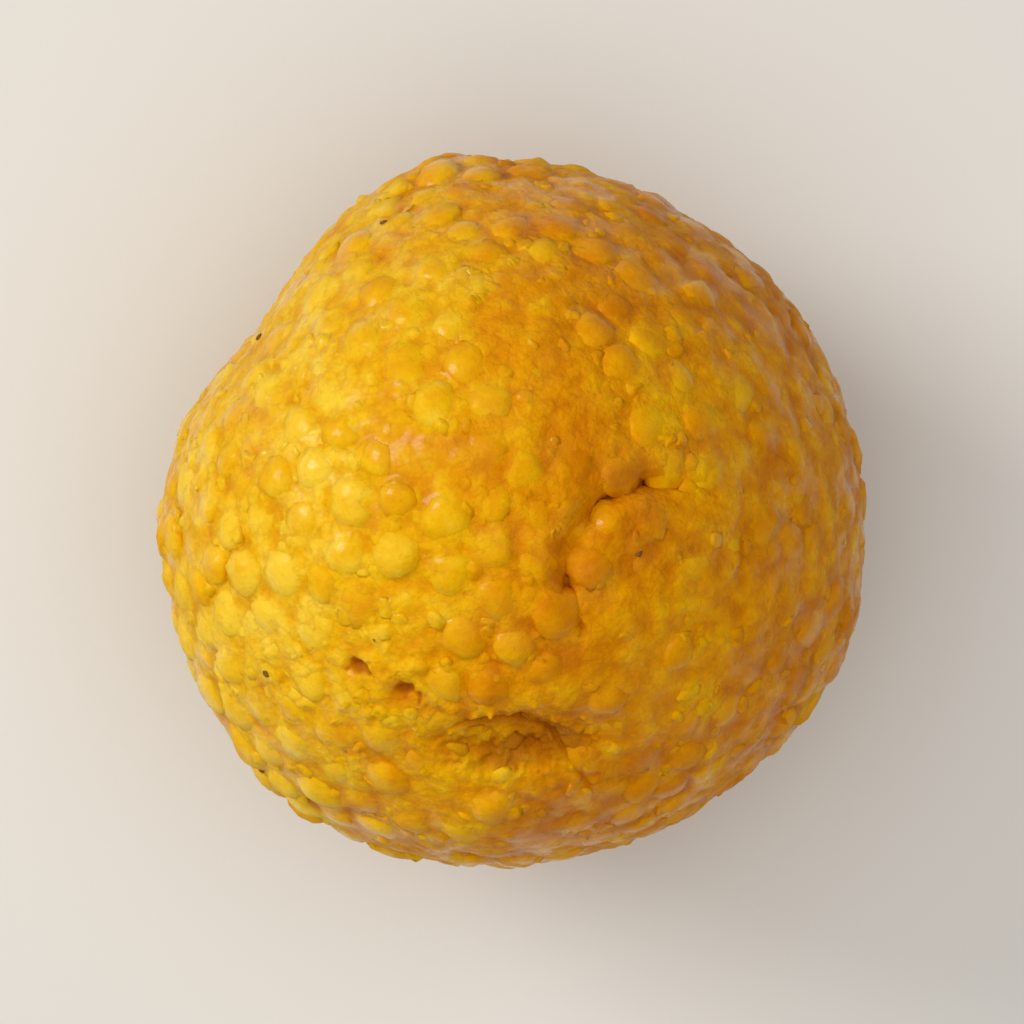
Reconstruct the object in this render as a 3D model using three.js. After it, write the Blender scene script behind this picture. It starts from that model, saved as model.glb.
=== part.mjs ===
// Boondi ladoo: a ball of small fried gram-flour pearls (boondi), soaked in syrup and pressed by hand.
//
// Millimetres, +Z up. The ball stands on the flat spot that pressing and its own weight gave it. The origin
// is on that spot, under the middle of the ball. +Y is the side that bears the lip, +X that of the patch.
//
// The ball is one body. Its skin is a packing of domes, one for each pearl of the outer layer, at true
// size: a crown, a shoulder ring, and the grooves and pockets where the pearl meets its neighbours.

import * as THREE from "three";
import { ConvexHull } from "three/addons/math/ConvexHull.js";

// ---- Driving dimensions ----

const ballWidth = 43; // across, seen from above, over the pearls
const ballHeight = 41; // from the rest spot to the highest pearl
const restSpotWidth = 13; // the flat spot underneath

const pearlWidth = 3.35; // one pearl, mean
const pearlSizeSpread = 0.2; // a pearl is up to this share larger or smaller than the mean
const pearlLiftSpread = 0.22; // a crown stands up to this far above or below the pressed form
const pearlCrowding = 0.965; // pressed pearls crowd a little under their width
const pressedHeight = 0.38; // share of its round height that a pressed pearl keeps
const shoulderPlace = 0.62; // how far from crown to pocket the shoulder ring lies
const pocketGap = 0.12; // how much deeper than the pearls' edges a pocket between three of them is
const skinReach = 0.98; // share of its radius at which a pearl's skin ends, short of turning straight down

// ---- Worked out from them ----

const crownLift = pearlLiftSpread / 2;
const formRadius = ballWidth / 2 - crownLift; // pressed form, seen from above
const restCosine = Math.sqrt(1 - (restSpotWidth / ballWidth) ** 2);
const formHalfHeight = (ballHeight - crownLift) / (1 + restCosine);
const middleHeight = formHalfHeight * restCosine; // the ball's middle above the rest spot
const formArea = 4 * Math.PI * formRadius * formHalfHeight;
const cellArea = (Math.sqrt(3) / 2) * (pearlWidth * pearlCrowding) ** 2; // a pearl's share of a tight packing
const pearlCount = Math.round(formArea / cellArea);

// ---- What the hand left: marks on the pressed form ----

// Each mark is centred at an azimuth from +X and an elevation, fades over its width and its tallness, all in
// degrees, and pushes the form in or out by its depth. A steep mark has an even floor and sharper sides.
const handMarks = [
  { azimuth: 143, elevation: 5, width: 19, tall: 34, depth: -2.3 }, // flat pressed by the heel of the hand
  { azimuth: 101, elevation: 4, width: 9, tall: 14, depth: 0.8 }, // lip beside that flat
  { azimuth: -128, elevation: 3, width: 32, tall: 30, depth: 0.9 }, // full flank
  { azimuth: -24, elevation: 0, width: 18, tall: 20, depth: 0.8 }, // full flank
  { azimuth: 58, elevation: 16, width: 20, tall: 24, depth: -0.4 }, // finger flat
  { azimuth: 10, elevation: 34, width: 20, tall: 20, depth: -0.4 }, // finger flat
  { azimuth: -160, elevation: 55, width: 22, tall: 22, depth: -0.4 }, // thumb flat
  { azimuth: 80, elevation: 65, width: 20, tall: 20, depth: 0.3 }, // swelling between the flats
  { azimuth: -60, elevation: -38, width: 24, tall: 20, depth: -0.5 }, // finger flat underneath
  { azimuth: 170, elevation: -40, width: 22, tall: 22, depth: 0.5 }, // swelling underneath
  { azimuth: -88, elevation: 48, width: 12.5, tall: 6.5, depth: -1.4, steep: 1.6 }, // a clump broke off here
  { azimuth: -96, elevation: 27, width: 12, tall: 10, depth: 0.6 }, // lump below the hollow
];

// A patch pressed on last, whose edge shows as an open crease: an arc in plan, seen from above.
const crease = { centre: [9.2, -4.0], radius: 5.8, fromDegrees: 60, toDegrees: 212, width: 0.8, depth: 0.9 };
const creaseClearance = 0.85; // share of its radius that a pearl's middle keeps off the crease

// Pits where a pearl sits deep, seen from above, and how deep.
const pits = [[-6.6, -10.8], [-9.4, -9.4]];
const pitDepth = 0.9;

// ---- A seeded draw, so that every run gives the same ball ----

const drawMultiplier = 16807;
const drawModulus = 2 ** 31 - 1;
let drawState = 20517; // the seed

function draw(low, high) {
  drawState = (drawState * drawMultiplier) % drawModulus;
  return low + ((high - low) * drawState) / drawModulus;
}

// ---- The pressed form ----

function pointing(azimuth, elevation) {
  const a = THREE.MathUtils.degToRad(azimuth);
  const e = THREE.MathUtils.degToRad(elevation);
  return new THREE.Vector3(Math.cos(e) * Math.cos(a), Math.cos(e) * Math.sin(a), Math.sin(e));
}

function markPush({ azimuth, elevation, width, tall, depth, steep = 1 }, direction) {
  const middle = pointing(azimuth, elevation);
  if (direction.dot(middle) <= 0) return 0;
  const east = pointing(azimuth + 90, 0);
  const north = new THREE.Vector3().crossVectors(middle, east);
  const across = THREE.MathUtils.radToDeg(Math.asin(direction.dot(east))) / width;
  const along = THREE.MathUtils.radToDeg(Math.asin(direction.dot(north))) / tall;
  return depth * Math.exp(-((across ** 2 + along ** 2) ** steep));
}

// Where a direction lies beside the crease: its way off the line, outwards from the arc's centre, the unit
// step that way, and how open the crease is there, from 0 at both ends to 1 in the middle.
function besideCrease(direction) {
  const x = direction.x * formRadius - crease.centre[0];
  const y = direction.y * formRadius - crease.centre[1];
  const reach = Math.hypot(x, y);
  const angle = (THREE.MathUtils.radToDeg(Math.atan2(y, x)) + 360) % 360;
  const share = (angle - crease.fromDegrees) / (crease.toDegrees - crease.fromDegrees);
  const open = direction.z > 0 && share > 0 && share < 1 ? Math.sin(Math.PI * share) : 0;
  return { off: reach - crease.radius, outwards: new THREE.Vector3(x / reach, y / reach, 0), open };
}

function creasePush(direction) {
  const { off, open } = besideCrease(direction);
  return -crease.depth * open * Math.exp(-((off / crease.width) ** 2));
}

// Distance from the ball's middle to the pressed form, in a direction.
function formAt(direction) {
  const { x, y, z } = direction;
  const round = 1 / Math.hypot(x / formRadius, y / formRadius, z / formHalfHeight);
  const pushes = handMarks.reduce((sum, mark) => sum + markPush(mark, direction), 0);
  return round + pushes + creasePush(direction);
}

// ---- The pearls of the outer layer ----

// Pearls start on a golden-angle spiral, shaken off it, each with its own size. Then neighbours that crowd
// each other move apart, so that a large pearl takes more room than a small one.
const goldenAngle = Math.PI * (3 - Math.sqrt(5));
const spiralShake = 0.7; // how far off the spiral a pearl may start, in pearl widths
const spreadRounds = 60;
const crowding = 1.06; // pearls ask for a little more room than there is, so the packing stays tight
const giveWay = 0.3; // share of an overlap that each of the two clears in one round

function packPearls() {
  const shake = spiralShake * (pearlWidth / formRadius);
  const pearls = [];
  for (let i = 0; i < pearlCount; i++) {
    const height = 1 - (2 * i + 1) / pearlCount;
    const girth = Math.sqrt(1 - height * height);
    const turn = i * goldenAngle;
    const direction = new THREE.Vector3(girth * Math.cos(turn), girth * Math.sin(turn), height);
    direction.add(new THREE.Vector3(draw(-shake, shake), draw(-shake, shake), draw(-shake, shake)));
    const radius = (pearlWidth / 2) * (1 + draw(-pearlSizeSpread, pearlSizeSpread));
    const lift = draw(-pearlLiftSpread, pearlLiftSpread);
    pearls.push({ direction: direction.normalize(), radius, lift });
  }
  for (let round = 0; round < spreadRounds; round++) spreadApart(pearls);
  pits.forEach((pit) => sinkPearl(pearls, pit));
  return pearls;
}

function sinkPearl(pearls, [x, y]) {
  const z = Math.sqrt(formRadius ** 2 - x ** 2 - y ** 2);
  const place = new THREE.Vector3(x, y, z).normalize();
  const [nearest] = [...pearls].sort((a, b) => b.direction.dot(place) - a.direction.dot(place));
  nearest.lift = -pitDepth;
}

function spreadApart(pearls) {
  const moves = pearls.map(() => new THREE.Vector3());
  const between = new THREE.Vector3();
  for (let i = 0; i < pearls.length; i++) {
    for (let j = i + 1; j < pearls.length; j++) {
      between.subVectors(pearls[i].direction, pearls[j].direction);
      const room = (crowding * (pearls[i].radius + pearls[j].radius)) / formRadius;
      const gap = between.length();
      if (gap >= room) continue;
      between.multiplyScalar((giveWay * (room - gap)) / gap);
      moves[i].add(between);
      moves[j].sub(between);
    }
  }
  pearls.forEach((pearl, i) => pearl.direction.add(moves[i]).normalize());
  pearls.forEach(keepOffCrease);
}

// No pearl bridges the crease: one whose middle is too near the line moves to its own side of it.
function keepOffCrease(pearl) {
  const { off, outwards, open } = besideCrease(pearl.direction);
  const short = creaseClearance * pearl.radius * open - Math.abs(off);
  if (short <= 0) return;
  pearl.direction.addScaledVector(outwards, (Math.sign(off) * short) / formRadius).normalize();
}

// How far a pearl's skin is from the pressed form, at a distance from its axis.
function pearlSkin(pearl, distance) {
  const within = Math.min(distance, skinReach * pearl.radius);
  return pearl.lift - pressedHeight * (pearl.radius - Math.sqrt(pearl.radius ** 2 - within ** 2));
}

// ---- The ball's mesh ----

// Every pearl holds the directions nearest to it, larger pearls reaching further. Lifting each pearl's
// direction by its reach and wrapping a convex hull round them gives those cells: a face of the hull joins
// three pearls that touch, and its normal points at the pocket between them.
function wrapPearls(pearls) {
  const lifted = pearls.map(({ direction, radius }) =>
    direction.clone().divideScalar(Math.cos(radius / formRadius)));
  const indexOf = new Map(lifted.map((point, i) => [point, i]));
  const cells = pearls.map(() => []);
  const pockets = new ConvexHull().setFromPoints(lifted).faces.map((face) => {
    const edges = [face.getEdge(0), face.getEdge(1), face.getEdge(2)];
    const corners = edges.map((edge) => indexOf.get(edge.head().point));
    const pocket = { direction: face.normal.clone(), pearls: corners.map((i) => pearls[i]) };
    corners.forEach((i) => cells[i].push(pocket));
    return pocket;
  });
  return { pockets, cells };
}

// A point on the skin, clipped to the plane that the ball stands on.
function skinPoint(direction, skin) {
  const point = direction.clone().multiplyScalar(formAt(direction) + skin);
  if (point.z < -middleHeight) point.multiplyScalar(-middleHeight / point.z);
  point.z += middleHeight;
  return point;
}

function distanceFromAxis(pearl, direction) {
  return formRadius * pearl.direction.distanceTo(direction);
}

// A pocket is as deep as the edge of the highest pearl beside it, and a little more.
function pocketPoint(pocket) {
  const edges = pocket.pearls.map((pearl) => pearlSkin(pearl, distanceFromAxis(pearl, pocket.direction)));
  return skinPoint(pocket.direction, Math.max(...edges) - pocketGap);
}

// A cell's pockets in order round its pearl, anticlockwise seen from outside.
function inOrder(pearl, cell) {
  const east = new THREE.Vector3(0, 0, 1).cross(pearl.direction).normalize();
  const north = new THREE.Vector3().crossVectors(pearl.direction, east);
  const bearing = ({ direction }) => Math.atan2(direction.dot(north), direction.dot(east));
  return [...cell].sort((a, b) => bearing(a) - bearing(b));
}

// One dome: a fan of triangles from the crown to the shoulder ring, and a band from there to the pockets.
function domeTriangles(pearl, cell) {
  const round = inOrder(pearl, cell);
  const crown = skinPoint(pearl.direction, pearl.lift);
  const shoulders = round.map(({ direction }) => {
    const place = pearl.direction.clone().lerp(direction, shoulderPlace).normalize();
    return skinPoint(place, pearlSkin(pearl, distanceFromAxis(pearl, place)));
  });
  return round.flatMap((pocket, i) => {
    const next = (i + 1) % round.length;
    return [
      crown, shoulders[i], shoulders[next],
      shoulders[i], pocket.point, round[next].point,
      shoulders[i], round[next].point, shoulders[next],
    ];
  });
}

function ballGeometry() {
  const pearls = packPearls();
  const { pockets, cells } = wrapPearls(pearls);
  pockets.forEach((pocket) => (pocket.point = pocketPoint(pocket)));
  const corners = pearls.flatMap((pearl, i) => domeTriangles(pearl, cells[i]));
  const geometry = new THREE.BufferGeometry().setFromPoints(corners);
  geometry.computeVertexNormals();
  return geometry;
}

// ---- The part ----

const friedGramFlour = new THREE.MeshStandardMaterial({
  color: 0xdb970f, // golden yellow, deepened by syrup
  roughness: 0.42, // a thin coat of syrup and ghee
  metalness: 0,
});

const ball = new THREE.Mesh(ballGeometry(), friedGramFlour);
ball.name = "boondi_ball";

const ladoo = new THREE.Group();
ladoo.add(ball);

export default ladoo;
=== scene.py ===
"""Boondi ladoo: a ball of fried gram-flour pearls, soaked in saffron syrup and pressed together by hand.

Metres, +Z up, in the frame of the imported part. The ball stands on its rest spot at the origin.
"""

import math

import bmesh
import bpy
import numpy as np
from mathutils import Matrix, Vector, noise
from mathutils.kdtree import KDTree


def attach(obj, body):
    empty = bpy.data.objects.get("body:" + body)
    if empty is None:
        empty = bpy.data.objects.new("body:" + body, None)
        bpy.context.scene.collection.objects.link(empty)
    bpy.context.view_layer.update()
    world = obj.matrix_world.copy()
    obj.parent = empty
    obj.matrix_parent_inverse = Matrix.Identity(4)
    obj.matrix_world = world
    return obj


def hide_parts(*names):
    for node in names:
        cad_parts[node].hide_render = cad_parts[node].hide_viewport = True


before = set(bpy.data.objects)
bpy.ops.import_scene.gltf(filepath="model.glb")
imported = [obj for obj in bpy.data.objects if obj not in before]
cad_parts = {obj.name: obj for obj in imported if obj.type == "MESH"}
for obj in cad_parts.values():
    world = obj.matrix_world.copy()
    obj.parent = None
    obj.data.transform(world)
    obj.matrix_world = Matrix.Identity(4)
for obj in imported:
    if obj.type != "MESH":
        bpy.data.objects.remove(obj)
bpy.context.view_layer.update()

# ---- Boondi: the pearls of the outer layer ----
# Drops of gram-flour batter, fried and soaked in saffron syrup. The warm pearls are pressed into a ball by
# hand, so each one is flattened outside and takes the shape of its neighbours at the sides. The hand leaves
# flats, a lip, a crease round a patch that was pressed on last, and the hollow of a clump that broke off.

ball_width = 0.043  # across, seen from above, over the pearls
ball_height = 0.041
rest_spot_width = 0.013

pearl_width = 0.00335  # one pearl, mean
pearl_size_spread = 0.2  # a pearl is up to this share larger or smaller than the mean
pearl_lift_spread = 0.00022  # a crown stands up to this far above or below the pressed form
pearl_crowding = 0.965  # pressed pearls crowd a little under their width
packing_seed, finish_seed = 20517, 8841

crown_lift = pearl_lift_spread / 2
form_radius = ball_width / 2 - crown_lift
rest_cosine = math.sqrt(1 - (rest_spot_width / ball_width) ** 2)
form_half_height = (ball_height - crown_lift) / (1 + rest_cosine)
middle_height = form_half_height * rest_cosine
form_area = 4 * math.pi * form_radius * form_half_height
pearl_count = round(form_area / (math.sqrt(3) / 2 * (pearl_width * pearl_crowding) ** 2))

# Each mark of the hand: azimuth from +X, elevation, width and tallness in degrees, depth in metres, and how
# steep its sides are.
hollow = (-88, 48, 12.5, 6.5, -0.0014, 1.6)  # left by a clump that broke off
hand_marks = [
    (143, 5, 19, 34, -0.0023, 1),  # flat pressed by the heel of the hand
    (101, 4, 9, 14, 0.0008, 1),  # lip beside that flat
    (-128, 3, 32, 30, 0.0009, 1),  # full flank
    (-24, 0, 18, 20, 0.0008, 1),  # full flank
    (58, 16, 20, 24, -0.0004, 1),  # finger flat
    (10, 34, 20, 20, -0.0004, 1),  # finger flat
    (-160, 55, 22, 22, -0.0004, 1),  # thumb flat
    (80, 65, 20, 20, 0.0003, 1),  # swelling between the flats
    (-60, -38, 24, 20, -0.0005, 1),  # finger flat underneath
    (170, -40, 22, 22, 0.0005, 1),  # swelling underneath
    hollow,
    (-96, 27, 12, 10, 0.0006, 1),  # lump below the hollow
]
crease_centre, crease_radius = (0.0092, -0.004), 0.0058  # an arc, seen from above
crease_from, crease_to = 60, 212  # degrees
crease_width, crease_depth = 0.0008, 0.0009
pits, pit_depth = ((-0.0066, -0.0108), (-0.0094, -0.0094)), 0.0009


def pointing(azimuth, elevation):
    """The direction at an azimuth from +X and an elevation, both in degrees."""
    a, e = math.radians(azimuth), math.radians(elevation)
    return np.array((math.cos(e) * math.cos(a), math.cos(e) * math.sin(a), math.sin(e)))


def unit(vectors):
    return vectors / np.linalg.norm(vectors, axis=-1, keepdims=True)


def noise_at(places, scale, step=(0, 0, 0)):
    """Noise from -1 to 1. The larger the scale, the finer it is."""
    return np.array([noise.noise(Vector(place) * scale + Vector(step)) for place in places])


def mark_share(mark, directions):
    """How much of a mark's depth each direction takes."""
    azimuth, elevation, width, tall, _, steep = mark
    middle, east = pointing(azimuth, elevation), pointing(azimuth + 90, 0)
    across = np.degrees(np.arcsin(directions @ east)) / width
    along = np.degrees(np.arcsin(directions @ np.cross(middle, east))) / tall
    return np.where(directions @ middle > 0, np.exp(-((across**2 + along**2) ** steep)), 0)


def beside_crease(directions):
    """Distance off the crease's line, the unit step outwards from its arc, and how open it is there."""
    away = directions[:, :2] * form_radius - crease_centre
    reach = np.linalg.norm(away, axis=1)
    angle = np.degrees(np.arctan2(away[:, 1], away[:, 0])) % 360
    share = (angle - crease_from) / (crease_to - crease_from)
    inside = (directions[:, 2] > 0) & (share > 0) & (share < 1)
    outwards = np.column_stack((away / reach[:, None], np.zeros(len(away))))
    return reach - crease_radius, outwards, np.where(inside, np.sin(math.pi * share), 0)


def form_at(directions):
    """Distance from the ball's middle to the pressed form."""
    plain = 1 / np.linalg.norm(directions / (form_radius, form_radius, form_half_height), axis=1)
    pushes = sum(mark[4] * mark_share(mark, directions) for mark in hand_marks)
    off, _, is_open = beside_crease(directions)
    return plain + pushes - crease_depth * is_open * np.exp(-((off / crease_width) ** 2))


def skin_points(directions, skin):
    """Points at a height over the form, clipped to the plane that the ball stands on."""
    points = directions * (form_at(directions) + skin)[:, None]
    below = points[:, 2] < -middle_height
    points[below] *= (-middle_height / points[below, 2])[:, None]
    points[:, 2] += middle_height
    return points


class Draw:
    """A seeded draw by the minimal standard generator, so that every run gives the same ball."""

    factor, modulus = 16807, 2147483647

    def __init__(self, seed):
        self.state = seed

    def __call__(self, low, high):
        self.state = self.state * self.factor % self.modulus
        return low + (high - low) * self.state / self.modulus


spiral_shake = 0.7  # how far a pearl starts off its place on the spiral, in widths
packing_rounds = 60
packing_room = 1.06  # how far apart the middles of two pearls want to be, as a share of both radii
packing_step = 0.3  # how much of the room that they lack they make up in a round
crease_room = 0.85  # how far a pearl's middle stays from the crease, as a share of its radius


def pack_pearls():
    """Pearls start on a golden-angle spiral, shaken off it, and those that crowd each other move apart."""
    draw = Draw(packing_seed)
    shake = spiral_shake * pearl_width / form_radius
    golden_angle = math.pi * (3 - math.sqrt(5))
    directions, radii, lifts = [], [], []
    for i in range(pearl_count):
        height = 1 - (2 * i + 1) / pearl_count
        girth = math.sqrt(1 - height * height)
        place = np.array((girth * math.cos(i * golden_angle), girth * math.sin(i * golden_angle), height))
        directions.append(place + [draw(-shake, shake) for _ in range(3)])
        radii.append(pearl_width / 2 * (1 + draw(-pearl_size_spread, pearl_size_spread)))
        lifts.append(draw(-pearl_lift_spread, pearl_lift_spread))
    directions, radii, lifts = unit(np.array(directions)), np.array(radii), np.array(lifts)
    for _ in range(packing_rounds):
        directions = spread_apart(directions, radii)
    for x, y in pits:
        place = np.array((x, y, math.sqrt(form_radius**2 - x**2 - y**2)))
        lifts[np.argmax(directions @ place)] = -pit_depth
    return directions, radii, lifts


def spread_apart(directions, radii):
    """One round of the packing: crowded pearls move apart, and those on the crease move off it."""
    between = directions[:, None] - directions[None]
    gap = np.linalg.norm(between, axis=2)
    np.fill_diagonal(gap, 1)  # far enough that a pearl doesn't push itself
    room = packing_room * (radii[:, None] + radii[None]) / form_radius
    push = np.where(gap < room, packing_step * (room - gap) / gap, 0)
    directions = unit(directions + (between * push[..., None]).sum(axis=1))
    off, outwards, is_open = beside_crease(directions)
    short = np.maximum(crease_room * radii * is_open - np.abs(off), 0)
    return unit(directions + outwards * (np.sign(off) * short / form_radius)[:, None])


pearl_at, pearl_radius, pearl_lift = pack_pearls()

# Where the hand pressed hardest, pearls are mashed nearly flush: azimuth, elevation, width and tallness in
# degrees, and how flush. Elsewhere it varies from place to place.
mashed_places = [
    (143, 5, 24, 36, 0.4),  # under the heel of the hand
    (40, 68, 40, 26, 0.45),  # under the palm
    (-24, 60, 26, 20, 0.4),  # the patch pressed on last
    (58, 16, 24, 24, 0.4),
    (10, 34, 24, 20, 0.4),
    (-60, -38, 26, 22, 0.4),
    (-140, 20, 40, 36, -0.35),  # the flank that the hand hardly touched
]
mashed_mean, mashed_spread, most_mashed = 0.31, 0.45, 0.85


def mashed(directions):
    """How flush the pearls are pressed in each direction."""
    varying = mashed_mean + mashed_spread * noise_at(directions, scale=4.5)
    marks = sum(mark_share((*place, 1), directions) * place[4] for place in mashed_places)
    return np.clip(varying + marks, 0, most_mashed)


# A pressed pearl, in radii. Its outline is a rounded polygon, with a side for each neighbour, and its profile
# is a little squarer than an ellipse.
top_height, under_height = 0.56, 0.75
corner_reach = 1.16  # how far it swells into the gaps between its neighbours
side_reach = 1.5  # a neighbour whose side would be farther off than this doesn't flatten it
outline_squareness, profile_squareness = 8, 2.3
facet_swell = 1.01  # makes up for the faces of the mesh, which lie inside the round shape
most_neighbours = 9

apart = form_radius * np.linalg.norm(pearl_at[:, None] - pearl_at[None], axis=2)
np.fill_diagonal(apart, np.inf)  # no pearl is its own neighbour
neighbours = np.argsort(apart, axis=1)[:, :most_neighbours]
span = np.take_along_axis(apart, neighbours, axis=1)
reach = (span**2 + pearl_radius[:, None] ** 2 - pearl_radius[neighbours] ** 2) / (2 * span)
side_distance = np.where(reach < side_reach * pearl_radius[:, None], reach, np.inf)
towards = pearl_at[neighbours] - pearl_at[:, None]
towards -= (towards * pearl_at[:, None]).sum(axis=2, keepdims=True) * pearl_at[:, None]
side_towards = unit(towards)

# Cracks run along two stretches of the crease and along the upper rim of the hollow. Each is an arc, seen
# from above: its centre and radius, the middle and half-length of its open stretch in degrees, and its depth.
cracks = [
    (crease_centre, crease_radius, 102, 33, 0.0009),
    (crease_centre, crease_radius, 195, 17, 0.0007),
    ((-0.001, -0.0188), 0.006, 72, 44, 0.0006),
]
crack_width, crack_wander = 0.00021, 0.0004
crease_gap = 0.06  # share of its reach that a pearl keeps from the crease
parting_share = 0.2  # how open the crease is where it starts to part the pearls


def crack_at(directions):
    """How deep the cracks are."""
    places = directions[:, :2] * form_radius
    wander = crack_wander * noise_at(directions, scale=16)
    deep = np.zeros(len(directions))
    for centre, radius, middle, half, depth in cracks:
        away = places - centre
        angle = np.degrees(np.arctan2(away[:, 1], away[:, 0])) % 360
        off = np.linalg.norm(away, axis=1) - radius + wander
        deep += depth * np.exp(-(((angle - middle) / half) ** 4) - (off / crack_width) ** 2)
    return np.where(directions[:, 2] > 0, deep, 0)


off_crease, _, crease_open = beside_crease(pearl_at)
crease_side = np.sign(off_crease)
parted = (crease_side[:, None] != crease_side[neighbours]) & (crease_open > parting_share)[:, None]
side_distance = np.where(parted, (1 - crease_gap) * side_distance, side_distance)


def outline_gauge(pearl, offsets):
    """1 on the outline of a pearl, less inside it, for offsets from the pearl's axis along the form."""
    sides = np.maximum((side_towards[pearl] * offsets[:, None]).sum(axis=2), 0) / side_distance[pearl]
    round_part = np.linalg.norm(offsets, axis=1) / (corner_reach * pearl_radius[pearl])
    total = (sides**outline_squareness).sum(axis=1) + round_part**outline_squareness
    return total ** (1 / outline_squareness)


# Where pearls fell or broke out, the torn crumb shows: in the hollow and in small pits.
pit_width, pit_stretch = 0.00038, 1.8  # a pit is this much wider along X
hollow_pit = (0.0012, -0.0148)  # in the hollow
torn_raggedness = 0.9


def pitted(directions, wider=1):
    """How much of a pit's depth each direction takes."""
    ragged = 1 + noise_at(directions, scale=40)
    share = np.zeros(len(directions))
    for place in (*pits, hollow_pit):
        off = (directions[:, :2] * form_radius - place) / (pit_stretch * pit_width, pit_width)
        share += np.exp(-((np.linalg.norm(off, axis=1) * ragged / wider) ** 2))
    return np.where(directions[:, 2] > 0, share, 0)


def torn_at(directions):
    """How torn the skin is where the clump broke off."""
    ragged = 1 + torn_raggedness * noise_at(directions, scale=13)
    return np.clip(mark_share(hollow, directions) * ragged, 0, 1)


# Paler and deeper patches of the batter, seen from above: their middle, their width and by how much.
patches = [
    ((-0.0021, -0.0171), 0.0026, 0.6),
    ((-0.0054, -0.0132), 0.0022, 0.45),
    ((-0.0126, -0.0072), 0.003, 0.5),
    ((-0.013, 0.001), 0.004, 0.35),
    ((-0.0034, -0.0039), 0.003, 0.3),
    ((0.0084, 0.0058), 0.003, 0.4),
    ((0.0032, -0.0105), 0.0045, -0.4),
    ((0.002, 0.008), 0.005, -0.25),
    ((0.0015, -0.0015), 0.0045, -0.35),
    ((-0.0135, 0.0105), 0.006, 0.4),
]


def paler(directions):
    """How much paler than the rest the batter is in each direction."""
    total = np.zeros(len(directions))
    for place, width, share in patches:
        off = np.linalg.norm(directions[:, :2] * form_radius - place, axis=1)
        total += share * np.exp(-((off / width) ** 2))
    return np.where(directions[:, 2] > 0, total, 0)


slope_spread, most_sunk = 0.16, 0.0004  # how far a pearl leans, and how far the crumb buries it
mashed_flatter, mashed_sunk = 0.5, 0.0001
torn_sunk, pit_sunk = 0.0014, 0.001  # pearls that broke off or fell out lie under the crumb

draw = Draw(finish_seed)
pearl_slope = np.array([[draw(-slope_spread, slope_spread) for _ in range(3)] for _ in range(pearl_count)])
pearl_tint = np.clip([draw(0, 1) for _ in range(pearl_count)] + paler(pearl_at), 0, 1)
pearl_sunk = np.array([most_sunk * draw(0, 1) ** 3 for _ in range(pearl_count)])
flush = mashed(pearl_at)
pearl_torn = torn_at(pearl_at)
pearl_top = top_height * pearl_radius * (1 - mashed_flatter * flush)
pearl_crown = pearl_lift * (1 - flush) - mashed_sunk * flush - pearl_sunk
pearl_crown -= torn_sunk * pearl_torn
pearl_crown[pearl_lift == -pit_depth] -= pit_sunk

# The painted groove shade is at its darkest this far below the form.
rise_depth = 0.0008  # how far below the form the grooves are at their darkest
highest_rise = 1.3
pearl_lumps, crown_lumps = 0.17, 0.2  # how uneven a pearl's outline and its top are
lumps_apart = 7.3  # each pearl reads its own stretch of the noise
tiny = 1e-9  # avoids a division by zero at a pearl's pole


def rise(heights):
    """From 0 deep in the grooves to 1 on the pressed form, and a little more above it."""
    return np.clip(1 + heights / rise_depth, 0, highest_rise)


def pearl_vertices(pearl, ball):
    """The vertices of a unit ball, moved to a pearl's pressed shape: points, and heights over the form."""
    axis = pearl_at[pearl]
    east = unit(np.cross((0, 0, 1), axis))
    north = np.cross(axis, east)
    lumps = noise_at(ball, scale=1.6, step=(lumps_apart * pearl, 0, 0))
    across, up = np.linalg.norm(ball[:, :2], axis=1), ball[:, 2]
    square = (across**profile_squareness + np.abs(up) ** profile_squareness) ** (1 / profile_squareness)
    square /= facet_swell
    outwards = (ball[:, :1] * east + ball[:, 1:2] * north) / np.maximum(across, tiny)[:, None]
    outline = 1 / np.maximum(outline_gauge(np.full(len(ball), pearl), outwards), tiny)
    offsets = outwards * (outline * across / square * (1 + pearl_lumps * lumps))[:, None]
    tall = np.where(up > 0, pearl_top[pearl], under_height * pearl_radius[pearl])
    heights = pearl_crown[pearl] - pearl_top[pearl] + tall * up / square * (1 + crown_lumps * lumps)
    heights += offsets @ pearl_slope[pearl]
    return skin_points(unit(axis * form_radius + offsets), heights), heights


def piece_from(bm, name):
    """An object at the origin from a finished bmesh."""
    mesh = bpy.data.meshes.new(name)
    bm.to_mesh(mesh)
    bm.free()
    mesh.shade_smooth()
    piece = bpy.data.objects.new(name, mesh)
    bpy.context.scene.collection.objects.link(piece)
    return piece


def dome(segments, rings, buried_below):
    """A unit ball of a few dozen faces. Its underside is deep in the crumb and closes with one face."""
    bm = bmesh.new()
    bmesh.ops.create_uvsphere(bm, u_segments=segments, v_segments=rings, radius=1)
    buried = [vertex for vertex in bm.verts if vertex.co.z < buried_below]
    bmesh.ops.delete(bm, geom=buried, context="VERTS")
    rim = [vertex for vertex in bm.verts if vertex.is_boundary]
    bm.faces.new(sorted(rim, key=lambda vertex: -math.atan2(vertex.co.y, vertex.co.x)))
    slanting = (1, 10, 100)  # no two faces lie equally far along it, so their order is the same in each run
    bm.faces.sort(key=lambda face: face.calc_center_median().dot(slanting))
    mesh = bpy.data.meshes.new("dome")
    bm.to_mesh(mesh)
    bm.free()
    return mesh, np.array([vertex.co for vertex in mesh.vertices])


def shape(bm, points, *shares):
    """Move every vertex to its point and give it its tint, its rise and how torn it is."""
    layers = [bm.verts.layers.float.new(name) for name in ("tint", "rise", "torn")]
    for vertex, point, *own in zip(bm.verts, points, *shares):
        vertex.co = point
        for layer, share in zip(layers, own):
            vertex[layer] = share


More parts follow.
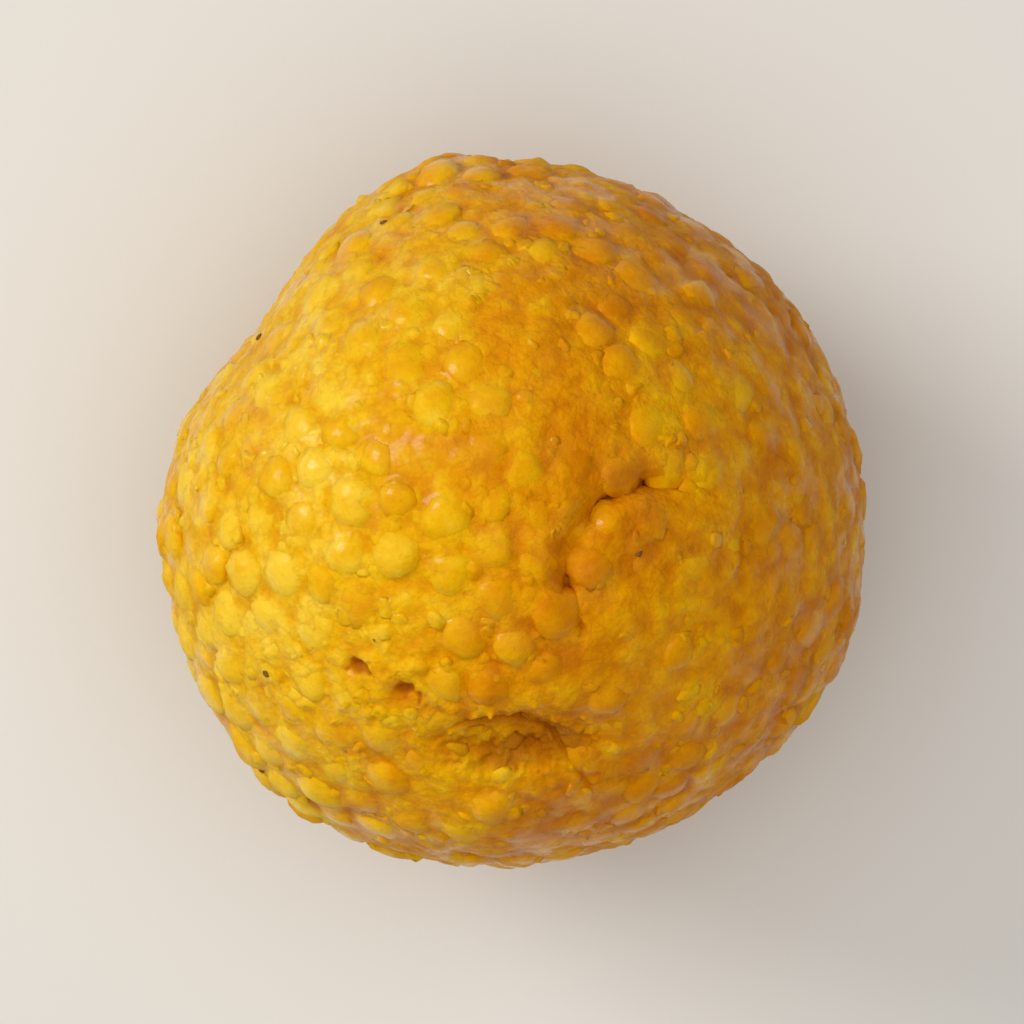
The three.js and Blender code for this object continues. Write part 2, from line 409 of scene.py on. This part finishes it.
def boondi_kind(name, members):
    """One mesh of the pearls of one tone."""
    bm = bmesh.new()
    for _ in members:
        bm.from_mesh(pearl_dome)
    made = [pearl_vertices(pearl, pearl_ball) for pearl in members]
    points, heights = [np.concatenate(part) for part in zip(*made)]
    whose = np.repeat(members, len(pearl_ball))
    shape(bm, points, pearl_tint[whose], rise(heights), pearl_torn[whose])
    piece = piece_from(bm, name)
    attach(piece, "root")
    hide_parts("boondi_ball")
    return piece


class Node:
    """A socket in a material. Arithmetic on it adds Math nodes, and make() adds any other node."""

    def __init__(self, tree, socket=None):
        self.tree, self.socket = tree, socket

    def make(self, kind, settings=None, inputs=None, output=0):
        node = self.tree.nodes.new("ShaderNode" + kind)
        for name, value in (settings or {}).items():
            if name == "stops":
                self.set_stops(node.color_ramp, value)
            else:
                setattr(node, name, value)
        self.feed(node, inputs or {})
        return Node(self.tree, node.outputs[output])

    def feed(self, node, inputs):
        for name, value in inputs.items():
            if isinstance(value, Node):
                self.tree.links.new(value.socket, node.inputs[name])
            else:
                node.inputs[name].default_value = value

    def set_stops(self, ramp, stops):
        while len(ramp.elements) < len(stops):
            ramp.elements.new(1)
        for element, (position, colour) in zip(ramp.elements, stops):
            element.position, element.color = position, (*colour, 1)

    def math(self, operation, *values):
        return self.make("Math", {"operation": operation}, dict(enumerate(values)))

    def __add__(self, other):
        return self.math("ADD", self, other)

    def __radd__(self, other):
        return self.math("ADD", other, self)

    def __sub__(self, other):
        return self.math("SUBTRACT", self, other)

    def __rsub__(self, other):
        return self.math("SUBTRACT", other, self)

    def __mul__(self, other):
        return self.math("MULTIPLY", self, other)

    def __rmul__(self, other):
        return self.math("MULTIPLY", other, self)

    def noise(self, place, size, detail=3, roughness=0.5):
        """Noise with features of about that size, from 0 to 1."""
        inputs = {"Vector": place, "Scale": 1 / size, "Detail": detail, "Roughness": roughness}
        return self.make("TexNoise", {"noise_dimensions": "3D"}, inputs)

    def ranged(self, low, high, to_low=0.0, to_high=1.0):
        """This value from low to high, turned smoothly to the range given."""
        settings = {"interpolation_type": "SMOOTHSTEP"}
        return self.make("MapRange", settings, {0: self, 1: low, 2: high, 3: to_low, 4: to_high})

    def mixed(self, first, second):
        """A colour between two, this value being the second one's share."""
        inputs = {0: self, 6: first if isinstance(first, Node) else (*first, 1)}
        inputs[7] = second if isinstance(second, Node) else (*second, 1)
        return self.make("Mix", {"data_type": "RGBA"}, inputs, output=2)


# The tones of the batter, from deep to pale, of the painted shade in the grooves, which the speckles share,
# and of the torn places.
amber = (0.62, 0.19, 0.0003)
golden = (0.79, 0.32, 0.0005)
yellow = (0.88, 0.48, 0.0025)
pale = (0.96, 0.62, 0.035)
groove_shade_and_speckle_amber = (0.50, 0.14, 0.0005)
torn_brown = (0.43, 0.125, 0.001)

crumbs_per_metre, crumb_stir = 1500, 0.0012
base_tone, tint_weight, zone_weight, cloud_weight, mottle_weight = 0.15, 0.38, 0.6, 0.7, 0.9
dry_roughness, wet_smoother, grain_rougher = 0.55, 0.2, 0.2
grain_relief, mottle_relief, crumb_relief = 0.4, 0.5, 0.6


def boondi_finish(name, film, crumbly):
    """Fried batter under syrup. film is how much of the skin is wet, and crumbly how grainy it is."""
    material = bpy.data.materials.new(name)
    material.use_nodes = True
    tree = material.node_tree
    surface = tree.nodes["Principled BSDF"]
    start = Node(tree)
    place = start.make("TexCoord", output="Object")
    tint = start.make("Attribute", {"attribute_name": "tint"}, output="Fac")
    risen = start.make("Attribute", {"attribute_name": "rise"}, output="Fac")

    zone = start.noise(place, size=0.011, detail=2)
    cloud = start.noise(place, size=0.0042, detail=3, roughness=0.55)
    mottle = start.noise(place, size=0.0016, detail=4, roughness=0.6)
    grain = start.noise(place, size=0.0003, detail=5, roughness=0.65)
    at_crumbs = {"Vector": place, "Scale": crumbs_per_metre, "Detail": 3}
    stir = start.make("TexNoise", None, at_crumbs, output="Color")
    step = {0: stir, 1: (crumb_stir,) * 3, 2: place}
    stirred = start.make("VectorMath", {"operation": "MULTIPLY_ADD"}, step)
    crumbs = start.make("TexVoronoi", {"feature": "F1"}, {"Vector": stirred, "Scale": crumbs_per_metre})

    # Painted light and a painted sheen: the ball is paler towards -X, the side the light comes from.
    # Painted shade: it is deeper in tone down in the grooves between the pearls.
    painted_left_light = start.make("SeparateXYZ", None, {0: place}).ranged(0.006, -0.018, to_low=-0.04, to_high=0.44)
    groove_shade = risen.ranged(0.1, 0.85, to_low=-0.24, to_high=0)
    tone = tint * tint_weight + (zone - 0.5) * zone_weight + (cloud - 0.5) * cloud_weight
    tone = tone + (mottle - 0.5) * mottle_weight + painted_left_light + groove_shade + base_tone
    stops = [(0, amber), (0.35, golden), (0.7, yellow), (1, pale)]
    colour = start.make("ValToRGB", {"stops": stops}, {"Fac": tone})
    # Painted shade: deep in the grooves the colour goes over to a darker amber.
    colour = risen.ranged(0, 0.5, to_low=0.85, to_high=0).mixed(colour, groove_shade_and_speckle_amber)
    speckle = grain.ranged(0.5, 0.72, to_high=0.18) + crumbs.ranged(0.35, 0.9, to_high=0.28 * crumbly)
    colour = speckle.mixed(colour, groove_shade_and_speckle_amber)
    torn = start.make("Attribute", {"attribute_name": "torn"}, output="Fac")
    stain = (torn + (mottle - 0.5) * 0.6).ranged(0.2, 0.95, to_high=0.85)
    colour = stain.mixed(colour, torn_brown)

    # A film of syrup glistens in patches, on what stands out of the grooves.
    wet = start.noise(place, size=0.0025, detail=3).ranged(0.45, 0.62) * risen.ranged(0.2, 0.6)
    start.feed(surface, {
        "Base Color": colour,
        "Roughness": dry_roughness - wet * wet_smoother + (grain - 0.5) * grain_rougher,
        "Coat Weight": wet * film,
    })
    surface.inputs["Specular IOR Level"].default_value = 0.16
    surface.inputs["Specular Tint"].default_value = (1, 0.8, 0.45, 1)
    surface.inputs["Coat Roughness"].default_value = 0.14
    surface.inputs["Coat IOR"].default_value = 1.4
    surface.inputs["Subsurface Weight"].default_value = 0.15
    surface.inputs["Subsurface Radius"].default_value = (1, 0.42, 0.08)
    surface.inputs["Subsurface Scale"].default_value = 0.0012
    relief = grain * grain_relief + mottle * mottle_relief - crumbs * (crumb_relief * crumbly)
    bump = start.make("Bump", None, {"Height": relief, "Strength": 0.8, "Distance": 0.0002})
    start.feed(surface, {"Normal": bump})
    return material


pearl_dome, pearl_ball = dome(segments=12, rings=7, buried_below=-0.5)
boondi_skin = boondi_finish("boondi", film=0.6, crumbly=0.25)
kinds = [("amber_boondi", 0, 0.3), ("golden_boondi", 0.3, 0.7), ("pale_boondi", 0.7, 1.01)]  # by their tint
for name, low, high in kinds:
    pearls = boondi_kind(name, np.flatnonzero((pearl_tint >= low) & (pearl_tint < high)))
    pearls.data.materials.append(boondi_skin)

# ---- The crumb that binds them ----
# Mashed boondi, syrup and ghee fill the ball between the pearls. The crumb shows in the grooves, where it
# climbs a little up each pearl, and it is nearly flush where the hand pressed hardest.

crumb_level, mashed_level = -0.00044, -0.00018  # under the form
crumb_level_spread = 0.0002
crumb_ruffle = 0.00017
crumb_grit, torn_grit = 0.00006, 0.00018
grit_scale, grit_dimension, grit_lacunarity, grit_octaves = 45, 0.6, 2.0, 3
crumb_softness = 0.00013  # how gently the crumb climbs a pearl
crumb_under_pearl = 0.00016
crumb_clearance = 0.0001  # the ball stands on its pearls
pit_fill, pit_fill_reach = 0.0003, 4  # crumb pressed in round a pit, out to this many times its width
pit_dig = 0.8  # how deep the crumb goes down in a pit, as a share of the pit's depth
fall_outside = 2  # how steeply a pearl falls away outside its outline
pearls_met = 4  # the crumb meets no more pearls than this at one place
crumb_tint, crumb_tint_spread = 0.5, 0.6


def pearl_heights(pearl, directions):
    """The height of a pearl's skin over the form, falling steeply outside its outline."""
    axis = pearl_at[pearl]
    offsets = form_radius * (directions - axis * (directions * axis).sum(axis=1, keepdims=True))
    gauge = outline_gauge(pearl, offsets)
    profile = (1 - np.minimum(gauge, 1) ** profile_squareness) ** (1 / profile_squareness)
    slope = (offsets * pearl_slope[pearl]).sum(axis=1)
    beyond = np.maximum(gauge - 1, 0) * pearl_radius[pearl]
    return pearl_crown[pearl] - pearl_top[pearl] * (1 - profile) + slope - fall_outside * beyond


pearl_tree = KDTree(pearl_count)
for pearl, direction in enumerate(pearl_at):
    pearl_tree.insert(direction, pearl)
pearl_tree.balance()


def crumb_skin(directions):
    """The crumb's height over the form, its tint, and the nearest pearls, in directions from the middle."""
    found = [pearl_tree.find_n(direction, pearls_met) for direction in directions]
    nearest = np.array([[pearl for _, pearl, _ in met] for met in found])
    swell = noise_at(directions, scale=5.5)
    ruffle = noise_at(directions, scale=17, step=(3, 5, 7))
    grit_kind = (grit_dimension, grit_lacunarity, grit_octaves)
    grit = np.array([noise.fractal(Vector(direction) * grit_scale, *grit_kind) for direction in directions])
    level = crumb_level + (mashed_level - crumb_level) * mashed(directions)
    rough = crumb_grit + torn_grit * torn_at(directions)
    level += crumb_level_spread * swell + crumb_ruffle * ruffle + rough * grit
    level += pit_fill * pitted(directions, pit_fill_reach) - pit_dig * pit_depth * pitted(directions)
    layers, tints = [level], [crumb_tint + crumb_tint_spread * ruffle + paler(directions)]
    for met in nearest.T:
        layers.append(pearl_heights(met, directions) - crumb_under_pearl)
        tints.append(pearl_tint[met])
    shares = [np.exp(layer / crumb_softness) for layer in layers]
    tint = sum(share * tint for share, tint in zip(shares, tints)) / sum(shares)
    return crumb_softness * np.log(sum(shares)) - crack_at(directions), tint, nearest


crack_starts, torn_starts = 0.00003, 0.25  # where it is cracked or torn more than this, the mesh is finer
pit_torn = 1.4  # how torn the crumb is in the middle of a pit

bm = bmesh.new()
bmesh.ops.create_icosphere(bm, subdivisions=6, radius=1)
bmesh.ops.subdivide_edges(bm, edges=bm.edges, cuts=2, use_grid_fill=True)
directions = unit(np.array([vertex.co for vertex in bm.verts]))
rough = (crack_at(directions) > crack_starts) | (torn_at(directions) + pitted(directions) > torn_starts)
fine_edges = [edge for edge in bm.edges if any(rough[vertex.index] for vertex in edge.verts)]
bmesh.ops.subdivide_edges(bm, edges=fine_edges, cuts=1)
bmesh.ops.triangulate(bm, faces=bm.faces)
directions = unit(np.array([vertex.co for vertex in bm.verts]))
heights, tint, _ = crumb_skin(directions)
points = skin_points(directions, heights)
points[:, 2] = np.maximum(points[:, 2], crumb_clearance)
torn = np.maximum(torn_at(directions), pit_torn * pitted(directions))
shape(bm, points, tint, rise(heights), torn)
crumb = piece_from(bm, "ladoo_crumb")
crumb.data.materials.append(boondi_finish("crumb", film=0.45, crumbly=1))
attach(crumb, "root")
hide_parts("boondi_ball")

# ---- Broken boondi ----
# Some pearls break as the ball is pressed. Their bits, a fifth to a half of a pearl across, stick in the
# crumb between the whole ones.

bit_count, smallest_bit, largest_bit = 700, 0.00035, 0.0008  # half-widths
bit_sunk = 0.42  # of its half-width
bit_places_tried = 3 * bit_count
between_pearls = 0.72  # bits stick farther out than this share of the way to a pearl's outline
bit_tallness = 0.6
bit_lumps, bit_ridges = 0.6, 0.2
lump_scale, ridge_scale = 0.9, 2.3
bits_apart = 5.1  # each bit reads its own stretch of the noise
# The undersides of the bits take the painted shade of the grooves.
bit_rise, bit_rise_spread = 0.75, 0.5  # their undersides take the tone of the grooves
bit_dome, bit_ball = dome(segments=9, rings=7, buried_below=-0.8)


def scattered(count, draw):
    """Directions spread at random over the ball."""
    found = []
    while len(found) < count:
        place = np.array([draw(-1, 1) for _ in range(3)])
        if 0.1 < np.linalg.norm(place) < 1:  # the cube's corners would crowd the directions towards them
            found.append(unit(place))
    return np.array(found)


def jostled(spots):
    """Three readings of noise at each spot, as a step that changes smoothly from spot to spot."""
    readings = ((0, 0, 0), (31.7, 11.3, 5.9), (7.1, 43.9, 23.3))  # far apart, so that they aren't alike
    return np.column_stack([noise_at(spots + reading, scale=1) for reading in readings])


def strewn(name, places, heights, sizes, tints, torn_shares, finish):
    """Small rough lumps in one mesh, each half sunk in what it sticks to."""
    bm = bmesh.new()
    points, rises = [], []
    for i, (axis, height, size) in enumerate(zip(places, heights, sizes)):
        bm.from_mesh(bit_dome)
        east = unit(np.cross((0, 0, 1), axis))
        lumps = bit_lumps * jostled(lump_scale * bit_ball + (bits_apart * i, 0, 0))
        ridges = bit_ridges * jostled(ridge_scale * bit_ball + (0, bits_apart * i, 0))
        spots = (bit_ball + lumps + ridges) * (1, 1, bit_tallness)
        middle = skin_points(axis[None], np.array([height]))
        points.append(middle + size * spots @ (east, np.cross(axis, east), axis))
        rises.append(bit_rise + bit_rise_spread * spots[:, 2])
    points = np.concatenate(points)
    points[:, 2] = np.maximum(points[:, 2], 0)
    each = len(bit_ball)
    shape(bm, points, np.repeat(tints, each), np.concatenate(rises), np.repeat(torn_shares, each))
    piece = piece_from(bm, name)
    piece.data.materials.append(finish)
    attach(piece, "root")


bit_places = scattered(bit_places_tried, draw)
bit_heights, bit_tints, bit_near = crumb_skin(bit_places)
off_pearl = outline_gauge(bit_near[:, 0], form_radius * (bit_places - pearl_at[bit_near[:, 0]]))
free = np.flatnonzero((off_pearl > between_pearls) & (bit_places[:, 2] > -rest_cosine))[:bit_count]
bit_sizes = np.array([draw(smallest_bit, largest_bit) for _ in free])
bit_heights = bit_heights[free] - bit_sunk * bit_sizes
bit_places, bit_tints = bit_places[free], bit_tints[free]
bit_torn = torn_at(bit_places)
strewn("broken_boondi", bit_places, bit_heights, bit_sizes, bit_tints, bit_torn, boondi_skin)

# ---- Cardamom ----
# Crushed cardamom seed, stirred into the syrup: a few dark brown specks on the skin.

speck_count, smallest_speck, largest_speck = 22, 0.00013, 0.00025  # half-widths
speck_sunk = 0.00004

cardamom = bpy.data.materials.new("cardamom")
cardamom.use_nodes = True
seed = cardamom.node_tree.nodes["Principled BSDF"]
seed.inputs["Specular IOR Level"].default_value = 0.1
start = Node(cardamom.node_tree)
husk = start.noise(start.make("TexCoord", output="Object"), size=0.0002)
dark_husk, light_husk = (0.15, 0.055, 0.01), (0.3, 0.14, 0.04)
start.feed(seed, {"Base Color": husk.mixed(dark_husk, light_husk), "Roughness": 0.55 + husk * 0.3})

speck_places = scattered(speck_count, draw)
crumb_heights, _, speck_near = crumb_skin(speck_places)
speck_heights = np.maximum(crumb_heights, pearl_heights(speck_near[:, 0], speck_places)) - speck_sunk
speck_sizes = np.array([draw(smallest_speck, largest_speck) for _ in speck_places])
nothing = np.zeros(speck_count)
strewn("cardamom", speck_places, speck_heights, speck_sizes, nothing, nothing, cardamom)

# ---- The table, the light and the view ----
# The ladoo stands on a pale surface under a soft light from its upper left, and is looked at from straight
# above, from about as far as a phone is held.

view_distance = 0.5
view_width = 0.062  # of what the picture shows at the ball's middle
sensor_width = 36  # millimetres, as Blender wants it

bm = bmesh.new()
bmesh.ops.create_circle(bm, cap_ends=True, segments=96, radius=1.5)
table = piece_from(bm, "table")
table_finish = bpy.data.materials.new("table")
table_finish.use_nodes = True
paint = table_finish.node_tree.nodes["Principled BSDF"]
paint.inputs["Base Color"].default_value = (0.8, 0.79, 0.77, 1)
paint.inputs["Roughness"].default_value = 0.8
table.data.materials.append(table_finish)

middle = Vector((0, 0, middle_height))


def add_light(name, place, width, power, colour):
    light = bpy.data.lights.new(name, "AREA")
    light.size, light.energy, light.color = width, power, colour
    lamp = bpy.data.objects.new(name, light)
    lamp.location = middle + Vector(place)
    lamp.rotation_euler = (-Vector(place)).to_track_quat("-Z", "Y").to_euler()
    bpy.context.scene.collection.objects.link(lamp)
    return lamp


add_light("key", (-0.44, 0.21, 0.3), width=0.25, power=1.6, colour=(1, 0.96, 0.89))
overhead = add_light("overhead", (0, -0.05, 0.55), width=0.6, power=2.17, colour=(1, 0.98, 0.94))
overhead.visible_glossy = False  # so wide and soft that it leaves no glint

world = bpy.data.worlds.new("room")
bpy.context.scene.world = world
world.use_nodes = True
room_light = world.node_tree.nodes["Background"]
room_light.inputs["Color"].default_value = (1, 0.965, 0.91, 1)
room_light.inputs["Strength"].default_value = 0.2
bpy.context.scene.view_settings.view_transform = "Standard"

lens = bpy.data.cameras.new("camera")
lens.sensor_width = sensor_width
lens.lens = sensor_width * view_distance / view_width
lens.clip_start, lens.clip_end = 0.01, 10
camera = bpy.data.objects.new("camera", lens)
camera.location = middle + Vector((0, 0, view_distance))
bpy.context.scene.collection.objects.link(camera)
bpy.context.scene.camera = camera
